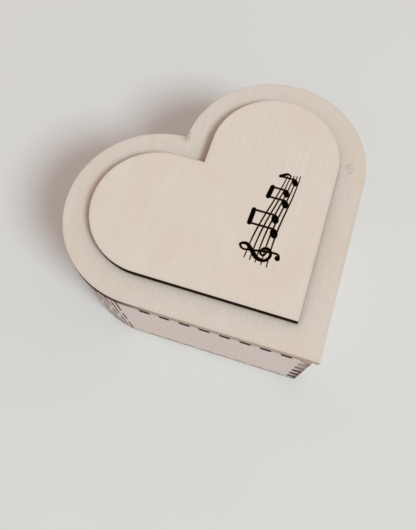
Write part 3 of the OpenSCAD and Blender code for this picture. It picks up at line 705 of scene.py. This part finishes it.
class WallsOperator(bpy.types.Operator):
    """Two laser-cut walls with living-hinge slits round the lobes"""
    bl_idname = "music_box.walls"
    bl_label = "Walls"

    def execute(self, context):
        s = sizes()
        y0, _, box_x = tip_point()
        face = veneer("wall_veneer", colours().wall, (0.0, math.pi / 2, 0.0), "flat")
        edge = cut_wood("wall_cut", scaled(colours().char, 0.7), scaled(colours().scorch, 0.3), "flat")
        tree = wall_tree()
        # the tree's inputs have the labels of the sizes
        inputs = {s.bl_rna.properties[key].name: getattr(s, key) for key in BoxSizes.__annotations__}
        for side, node, name in ((1, "right_wall", "wall_right"), (-1, "left_wall", "wall_left")):
            wall = flat_wall(name)
            run_tree(wall, tree, {**inputs, "Wall radius": s.lobe_r - s.overhang,
                                  "Side": 1 if side > 0 else 0, "Veneer": face})
            wall.data.materials.append(edge)
            thick = wall.modifiers.new("Thickness", "SOLIDIFY")
            thick.thickness = s.ply
            thick.offset = -1.0
            thick.material_offset_rim = 1
            thick.use_even_offset = True
            bake(wall)
            inner = 2 * s.lobe_r - s.overhang - s.ply
            # a mitre at the cleft, where the two walls meet
            for v in wall.data.vertices:
                if abs(v.co.x - inner - s.ply) < 1e-6 and abs(v.co.y - inner) < 1e-5:
                    v.co.x = inner
            bm = bmesh.new()
            bm.from_mesh(wall.data)
            for v in bm.verts:
                v.co = from_side(v.co.x, v.co.y, v.co.z, box_x, y0, side)
            bmesh.ops.recalc_face_normals(bm, faces=bm.faces)
            bm.to_mesh(wall.data)
            bm.free()
            self.recess(wall, edge)
            shade(wall.data)
            finish(wall, "box", node)
        return {"FINISHED"}

    def recess(self, wall, material):
        """Lets the lid's hinge leaves into the top of the wall."""
        slack = Vector((0.2, 0.2, 0.15)) * MM
        leaf, knuckle, top = 0.4 * MM, 0.7 * MM, sizes().wall_h
        bm = bmesh.new()
        for low, high in islands("hinge_lid_leaves"):
            low = Vector((low.x, low.y, top - leaf)) - slack
            high = Vector((high.x + slack.x, high.y - knuckle, top + MM))
            add_block(bm, (low + high) / 2, high - low)
        cut_away(wall, object_from(bm, "recess_tool", [material], smooth=False))


class InnerPlatesOperator(bpy.types.Operator):
    """Bottom plate, top frame, movement board and its blocks"""
    bl_idname = "music_box.inner_plates"
    bl_label = "Inner plates"

    def execute(self, context):
        c = colours()
        for node in ("bottom_plate", "top_frame", "movement_board", "board_blocks"):
            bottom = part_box(node)[0].z
            dark, light = scaled(c.char, 0.8), scaled(c.core, 0.4)
            if node == "bottom_plate":
                dark, light = scaled(c.core, 0.85), scaled(c.core, 1.25)
            dress(node, plate_wood(node + "_wood", c.inner, dark, light, bottom))
        return {"FINISHED"}


# ---------- lid ----------

def rounded_rings(z0, z1, top_soot):
    """Rings (inset in mm, height, soot) up the side of a sheet with slightly worn edges."""
    worn = 0.03
    r = worn * MM
    return [(0.10, z0, 0.6), (worn, z0 + r, 0.8), (0.0, z0 + 3.3 * r, 0.9), (0.0, z1 - 3.3 * r, 0.5),
            (worn, z1 - r, 0.35), (0.10, z1, top_soot)]


class LidOperator(bpy.types.Operator):
    """Heart-shaped lid plate"""
    bl_idname = "music_box.lid"
    bl_label = "Lid plate"

    def execute(self, context):
        s, c = sizes(), colours()
        z0, z1 = s.wall_h, s.wall_h + s.ply
        inset = s.panel_inset / MM
        # the rings near the outer edge carry laser soot; the rings round the panel's foot darken the lid with
        # painted shade where the panel stands on it, with a little smoke stain
        rings = [(12.0, z0, 0.0), (0.9, z0, 0.1)] + rounded_rings(z0, z1, 0.14) + [
            (0.28, z1, 0.07), (0.8, z1, 0.02), (1.6, z1, 0.0), (inset - 1.6, z1, 0.0),
            (inset - 0.9, z1, 0.05), (inset - 0.4, z1, 0.17), (inset - 0.05, z1, 0.4), (inset + 1.0, z1, 0.5)]
        y0, lid_x, _ = tip_point()
        cleft = from_side(2 * s.lobe_r, 2 * s.lobe_r, z1, lid_x, y0)
        band = from_side(60 * MM, 5 * MM, z1, lid_x, y0)
        lid = heart_sheet("lid_heart", rings, [
            veneer("lid_veneer", c.veneer, marks=((cleft, 2.6 * MM), (band, 2.2 * MM))),
            cut_wood("lid_cut", scaled(c.core, 0.85), scaled(c.core, 1.12), bottom=z0,
                     smoky=(-42 * MM, -33 * MM))], sides=(2, 6))
        finish(lid, "lid", "lid_plate")
        return {"FINISHED"}


def smooth(points, steps=6):
    """Rounded path through the points."""
    ends = [points[0], *points, points[-1]]
    path = []
    for k in range(1, len(ends) - 2):
        a, b, c, d = ends[k - 1:k + 3]
        for i in range(steps):
            t = i / steps
            path.append(tuple(0.5 * (2 * b[n] + (c[n] - a[n]) * t
                                     + (2 * a[n] - 5 * b[n] + 4 * c[n] - d[n]) * t ** 2
                                     + (3 * b[n] - a[n] - 3 * c[n] + d[n]) * t ** 3) for n in (0, 1)))
    return path + [points[-1]]


def stroke(path, widths, grow):
    """Left and right edges of a pen stroke with round ends; widths runs from its first to its last point."""
    n = len(path) - 1
    rows = []
    for i, (x, y) in enumerate(path):
        ax, ay = path[max(i - 1, 0)]
        bx, by = path[min(i + 1, n)]
        d = math.hypot(bx - ax, by - ay)
        way = ((bx - ax) / d, (by - ay) / d)
        t = i / n * (len(widths) - 1)
        k = min(int(t), len(widths) - 2)
        rows.append((x, y, way, (widths[k] + (widths[k + 1] - widths[k]) * (t - k) + grow) / 2))
    for row, sign in ((rows[0], -1), (rows[-1], 1)):
        x, y, way, r = row
        cap = [(x + sign * way[0] * r * math.sin(a), y + sign * way[1] * r * math.sin(a), way,
                r * math.cos(a)) for a in (0.5, 0.9, 1.25, 1.5)]
        rows = cap[::-1] + rows if sign < 0 else rows + cap
    return edges(rows)


def edges(rows):
    """Left and right edges from rows of a centre, a direction and a half width."""
    return ([(x - way[1] * r, y + way[0] * r) for x, y, way, r in rows],
            [(x + way[1] * r, y - way[0] * r) for x, y, way, r in rows])


def straight_stroke(start, end, width, grow):
    (ax, ay), (bx, by) = start, end
    return stroke([(ax + (bx - ax) * i / 6, ay + (by - ay) * i / 6) for i in range(7)], [width, width], grow)


def note_head(x, y, long, short, grow):
    """Tilted oval, as edge pairs."""
    tilt = 0.4
    way = (math.cos(tilt), math.sin(tilt))
    rows = []
    for i in range(15):
        a = 0.06 + 3.02 * i / 14
        u = -(long + grow / 2) * math.cos(a)
        rows.append((x + u * way[0], y + u * way[1], way, (short + grow / 2) * math.sin(a)))
    return edges(rows)


def staff(line, x):
    """Height of a staff line at x; the staff narrows and waves towards its far end."""
    t = (x - 20.5) / 31.0
    return 20.9 - 1.6 * t + line * (1.72 - 0.85 * t) + 0.55 * math.sin(5.2 * t)


def motif(grow):
    """Engraved music motif, in mm along and across the heart's right side, as edge pairs of strokes."""
    shapes = []
    for line in range(5):
        start, reach = 20.9 + 0.25 * line, 30.2 - 0.5 * line
        path = [(x, staff(line, x)) for x in (start + i * reach / 40 for i in range(41))]
        shapes.append(stroke(path, [0.16, 0.34, 0.30, 0.14], grow))
    clef = ((0.15, 0.6), (-0.42, 1.0), (0.0, 1.6), (0.85, 1.1), (0.75, 0.2), (-0.2, -0.15), (-1.2, 0.55),
            (-1.1, 1.9), (-0.05, 3.0), (0.85, 4.1), (0.5, 5.1), (-0.2, 4.5), (-0.05, 3.2), (0.3, 1.2),
            (0.5, -0.7), (0.3, -1.45), (-0.25, -1.5))
    pen = (0.35, 0.5, 0.6, 0.9, 0.7, 0.8, 1.25, 1.0, 0.6, 0.45, 0.5, 0.55, 0.5, 0.45)
    clef_x, gap = 24.6, 1.72
    clef_y = staff(0, clef_x)
    shapes.append(stroke([(clef_x + gap * x, clef_y + gap * y) for x, y in smooth(clef)], pen, grow))
    shapes.append(note_head(clef_x - 0.4, clef_y - 2.35, 0.75, 0.7, grow))
    tops = []
    for x, line, size, tall in ((31.2, 0.5, 1.0, 7.6), (35.6, 1.5, 0.95, 6.6), (41.0, 1.0, 0.85, 5.4),
                                (44.4, 2.0, 0.8, 4.4), (48.6, 1.0, 0.75, 4.6)):
        y = staff(line, x)
        shapes.append(note_head(x, y, 1.5 * size, 1.05 * size, grow))
        stem = x + 1.3 * size
        shapes.append(straight_stroke((stem, y + 0.3), (stem, y + tall), 0.5, grow))
        tops.append((stem, y + tall))
    for first, last in ((0, 1), (2, 3)):
        shapes.append(straight_stroke(tops[first], tops[last], 1.25, grow))
    x, y = tops[4]
    shapes.append(stroke(smooth(((x, y), (x + 0.7, y - 1.0), (x + 1.2, y - 1.9), (x + 0.8, y - 3.0))),
                         [0.9, 0.7, 0.3], grow))
    return shapes


def cutters(name, grow, top, depth, material):
    """Prisms of the motif that reach down from above the panel's face."""
    y0, x0, _ = tip_point()
    bm = bmesh.new()
    for sides in motif(grow):
        corners = [[bm.verts.new(from_side(p * MM, q * MM, z, x0, y0)) for p, q in side]
                   for side in sides for z in (top - depth, top + 0.4 * MM)]
        left_low, left_high, right_low, right_high = corners
        for a, b in ((left_low, left_high), (left_high, right_high), (right_high, right_low),
                     (right_low, left_low)):
            for i in range(len(a) - 1):
                bm.faces.new((a[i], a[i + 1], b[i + 1], b[i]))
        for i in (0, -1):
            bm.faces.new((left_low[i], left_high[i], right_high[i], right_low[i]))
    bmesh.ops.recalc_face_normals(bm, faces=bm.faces)
    return object_from(bm, name, [material], smooth=False)


class PanelOperator(bpy.types.Operator):
    """Raised heart panel with an engraved music motif"""
    bl_idname = "music_box.panel"
    bl_label = "Lid panel"

    def execute(self, context):
        s, c = sizes(), colours()
        z0 = s.wall_h + s.ply
        z1 = z0 + s.ply
        inset = s.panel_inset / MM
        rings = [(inset + i, z, b) for i, z, b in
                 [(2.0, z0, 0.0)] + rounded_rings(z0, z1, 0.2) + [
                     (0.22, z1, 0.10), (0.5, z1, 0.04), (1.1, z1, 0.0)]]
        panel = heart_sheet("panel_heart", rings, [
            veneer("panel_veneer", scaled(c.veneer, 1.03)),
            cut_wood("panel_cut", scaled(c.char, 0.6), scaled(c.char, 1.3), bottom=z0, shine=0.03)],
            sides=(1, 5))
        burnt = cut_wood("engraving_char", scaled(c.char, 0.08), scaled(c.char, 0.3), bottom=z0, shine=0.02)
        toasted = cut_wood("engraving_rim", scaled(c.scorch, 0.35), scaled(c.scorch, 0.9), bottom=z0)
        for name, grow, depth, material in (("rim_cutter", 0.22, 0.05 * MM, toasted),
                                            ("line_cutter", 0.0, s.engrave_depth, burnt)):
            cut_away(panel, cutters(name, grow, z1, depth, material), overlapping=True)
        finish(panel, "lid", "lid_panel")
        return {"FINISHED"}


# ---------- hinges, screws and movement ----------

class HingesOperator(bpy.types.Operator):
    """Brass hinges with their pins and screws"""
    bl_idname = "music_box.hinges"
    bl_label = "Hinges"

    def execute(self, context):
        brass = metal("hinge_brass_finish", colours().brass, 0.32, (0.004, 0.0002, 0.0002), tarnish=0.35)
        for node, width in (("hinge_box_leaves", 0.05), ("hinge_lid_leaves", 0.05), ("hinge_pins", 0.05),
                            ("hinge_box_screws", 0.03), ("hinge_lid_screws", 0.04)):
            soften(node, brass, width)
        return {"FINISHED"}


def screw_shape(head_r, head_h, shank_r, shank_len):
    """Pan-head screw turned on a lathe, with a slot; the underside of its head is at z = 0."""
    profile = [(0.0, head_h), (head_r * 0.45, head_h * 0.97), (head_r * 0.78, head_h * 0.82),
               (head_r * 0.95, head_h * 0.5), (head_r, head_h * 0.2), (head_r, 0.0), (shank_r, 0.0),
               (shank_r, -shank_len * 0.9), (shank_r * 0.6, -shank_len), (0.0, -shank_len)]
    bm = bmesh.new()
    rings = []
    steps = 24
    for r, z in profile:
        if r == 0.0:
            rings.append([bm.verts.new((0, 0, z))] * steps)
        else:
            rings.append([bm.verts.new((r * math.cos(2 * math.pi * i / steps), r * math.sin(
                2 * math.pi * i / steps), z)) for i in range(steps)])
    for a, b in zip(rings, rings[1:]):
        for i in range(steps):
            j = (i + 1) % steps
            corners = []
            for v in (a[i], b[i], b[j], a[j]):
                if v not in corners:
                    corners.append(v)
            bm.faces.new(corners)
    bmesh.ops.recalc_face_normals(bm, faces=bm.faces)
    screw = object_from(bm, "screw", [])
    bm = bmesh.new()
    add_block(bm, (0, 0, head_h * 1.05), (head_r * 2.4, head_r * 0.32, head_h * 0.9))
    cut_away(screw, object_from(bm, "slot", [], smooth=False))
    shade(screw.data, 35)
    return screw


def islands(node):
    """Boxes of a CAD node's separate solids, as (lowest corner, highest corner)."""
    bm = merged(node)
    seen, found = set(), []
    for start in bm.verts:
        if start in seen:
            continue
        group = [start]
        seen.add(start)
        for v in group:
            for e in v.link_edges:
                other = e.other_vert(v)
                if other not in seen:
                    seen.add(other)
                    group.append(other)
        found.append([Vector([pick(v.co[i] for v in group) for i in range(3)]) for pick in (min, max)])
    bm.free()
    return found


class ScrewsOperator(bpy.types.Operator):
    """Slotted screws of the board, the base, the comb and the frames"""
    bl_idname = "music_box.screws"
    bl_label = "Screws"

    def execute(self, context):
        steel = metal("screw_plating", scaled(colours().steel, 1.05), 0.3, 0.0004, tarnish=0.3)
        tree = screw_tree()
        for seed, (node, head_h, shank_r) in enumerate((
                ("board_screws", 0.9, 0.8), ("bed_screws", 0.9, 0.8), ("housing_screws", 0.8, 0.7),
                ("bracket_screws", 0.8, 0.6), ("comb_screws", 0.9, 0.7), ("governor_screws", 0.8, 0.6))):
            solids = islands(node)
            low, high = solids[0]
            head_r = (high.x - low.x) / 2
            head = head_h * MM
            screw = screw_shape(head_r, head, shank_r * MM, high.z - low.z - head)
            bm = bmesh.new()
            for low, high in solids:
                bm.verts.new(((low.x + high.x) / 2, (low.y + high.y) / 2, high.z - head))
            group = object_from(bm, node + "_set", [], smooth=False)
            run_tree(group, tree, {"Screw": screw, "Size": 1.0, "Seed": seed + 3, "Plating": steel})
            bpy.data.objects.remove(screw)
            finish(group, "box", node)
        return {"FINISHED"}


class SpringOperator(bpy.types.Operator):
    """Cast base, spring housing, mainspring, arbor and great wheel"""
    bl_idname = "music_box.spring"
    bl_label = "Base and spring"

    def execute(self, context):
        c = colours()
        cast = metal("cast_zinc_finish", c.zinc, 0.44, 0.0005, tarnish=0.18, depth=0.00002)
        steel = metal("shaft_finish", c.steel, 0.22, (0.00012, 0.00012, 0.003), tarnish=0.12)
        brass = metal("wheel_finish", c.brass, 0.28, (0.00015, 0.00015, 0.0012), tarnish=0.25)
        blued = metal("spring_finish", c.blued, 0.3, (0.0003, 0.0003, 0.004), tarnish=0.4)
        soften("bedplate", cast, 0.2, 3)
        soften("spring_housing", cast, 0.18, 3)
        soften("housing_pillars", cast, 0.08)
        soften("arbor_bush", brass, 0.08)
        soften("great_wheel", brass, 0.05)
        soften("arbor", steel, 0.2, 3)
        dress("mainspring", blued)
        return {"FINISHED"}


class CylinderOperator(bpy.types.Operator):
    """Pinned brass cylinder with its shaft, gears and bracket"""
    bl_idname = "music_box.cylinder"
    bl_label = "Cylinder"

    def execute(self, context):
        c = colours()
        brass = metal("cylinder_finish", c.brass, 0.25, (0.00012, 0.004, 0.004), tarnish=0.2)
        gear = metal("small_gear_finish", c.brass, 0.3, (0.0012, 0.00015, 0.00015), tarnish=0.25)
        steel = metal("cylinder_shaft_finish", c.steel, 0.22, (0.003, 0.00012, 0.00012), tarnish=0.1)
        sheet = metal("bracket_finish", scaled(c.steel, 1.08), 0.36, (0.0004, 0.003, 0.0002), tarnish=0.15)
        soften("cylinder", brass, 0.12, 3)
        dress("cylinder_pins", steel)
        soften("cylinder_shaft", steel, 0.1)
        soften("cylinder_pinion", gear, 0.05)
        soften("cylinder_gear", gear, 0.025, 1)
        soften("cylinder_bracket", sheet, 0.12)
        return {"FINISHED"}


class CombOperator(bpy.types.Operator):
    """Tuned steel comb"""
    bl_idname = "music_box.comb"
    bl_label = "Comb"

    def execute(self, context):
        ground = metal("comb_finish", scaled(colours().steel, 1.1), 0.2, (0.00015, 0.006, 0.00015),
                       tarnish=0.08)
        soften("comb", ground, 0.05, 2)
        return {"FINISHED"}


class GovernorOperator(bpy.types.Operator):
    """Governor frame, worm wheel, worm, air-brake fan and stop plunger"""
    bl_idname = "music_box.governor"
    bl_label = "Governor and stop"

    def execute(self, context):
        c = colours()
        sheet = metal("governor_sheet", scaled(c.steel, 1.08), 0.36, (0.0002, 0.0004, 0.003), tarnish=0.15)
        steel = metal("arbor_polish", c.steel, 0.2, 0.0004, tarnish=0.1)
        brass = metal("worm_wheel_finish", c.brass, 0.28, (0.0008, 0.00015, 0.00015), tarnish=0.2)
        soften("governor_frame", sheet, 0.1)
        soften("intermediate_pinion", steel, 0.03, 1)
        soften("worm_wheel", brass, 0.02, 1)
        dress("worm", steel)
        soften("fan", moulded("fan_nylon", c.nylon), 0.06)
        soften("stop_plunger", steel, 0.08)
        soften("brake_pad", felt_cloth("brake_felt", c.felt), 0.08, 3)
        return {"FINISHED"}


class KeyOperator(bpy.types.Operator):
    """Brass winding key under the box"""
    bl_idname = "music_box.key"
    bl_label = "Winding key"

    def execute(self, context):
        brass = metal("key_polish", colours().brass, 0.24, (0.0006, 0.003, 0.0006), tarnish=0.22)
        soften("winding_key", brass, 0.35, 4)
        return {"FINISHED"}


# ---------- panel in the sidebar ----------

BUILD_ORDER = (StageOperator, WallsOperator, InnerPlatesOperator, LidOperator, PanelOperator, HingesOperator,
               ScrewsOperator, SpringOperator, CylinderOperator, CombOperator, GovernorOperator, KeyOperator)


class MusicBoxPanel(bpy.types.Panel):
    """Lists the sizes, the colours and the pieces of the music box"""
    bl_idname = "VIEW3D_PT_music_box"
    bl_label = "Music Box"
    bl_space_type = "VIEW_3D"
    bl_region_type = "UI"
    bl_category = "Music Box"

    def draw(self, context):
        for key in GROUPS:
            group = getattr(context.scene, key)
            column = self.layout.column(align=True)
            for name in group.__annotations__:
                column.prop(group, name)
        for operator in BUILD_ORDER:
            self.layout.operator(operator.bl_idname)


GROUPS = {"music_box_sizes": BoxSizes, "music_box_colours": BoxColours, "music_box_stage": StageSettings}
CLASSES = (*GROUPS.values(), *BUILD_ORDER, MusicBoxPanel)


def register():
    for cls in CLASSES:
        bpy.utils.register_class(cls)
    for name, group in GROUPS.items():
        setattr(bpy.types.Scene, name, bpy.props.PointerProperty(type=group))


def unregister():
    for name in GROUPS:
        delattr(bpy.types.Scene, name)
    for cls in reversed(CLASSES):
        bpy.utils.unregister_class(cls)


def main():
    register()
    for operator in BUILD_ORDER:
        group, name = operator.bl_idname.split(".")
        getattr(getattr(bpy.ops, group), name)()


if __name__ == "__main__":
    main()
